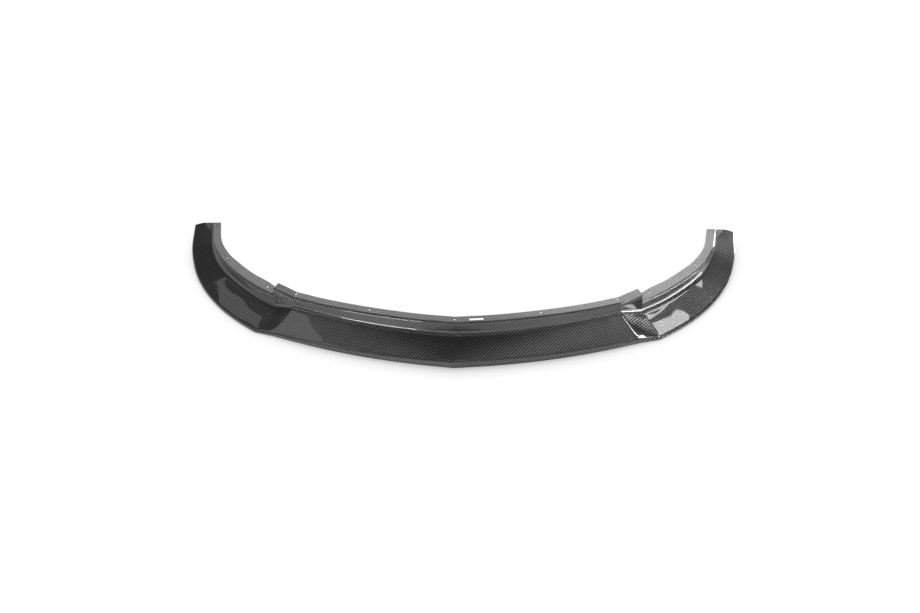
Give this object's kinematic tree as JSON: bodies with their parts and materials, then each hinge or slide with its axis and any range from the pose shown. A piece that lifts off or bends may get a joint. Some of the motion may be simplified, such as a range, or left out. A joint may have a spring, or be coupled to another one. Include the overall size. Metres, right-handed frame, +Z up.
{
  "type": "front splitter lip",
  "caption": "Crescent-shaped carbon-look front splitter lip with a rolled front rim, a sloping blade, an upright wall and a stepped mounting flange with screw holes.",
  "frame": {"origin": "middle of the plan's bounding rectangle, at the height of the lowest edge of the front rim", "axes": "+X to the car's left, along the width; +Y rearwards, towards the cut wing ends; the nose points to -Y; +Z up, the way the lip is fitted"},
  "size_m": [1.8, 0.552, 0.093],
  "materials": {
    "carbon_twill": "clear-coated carbon-fibre twill laminate, high gloss"
  },
  "bodies": {
    "root": {"splitter_lip": "carbon_twill"}
  },
  "joints": []
}
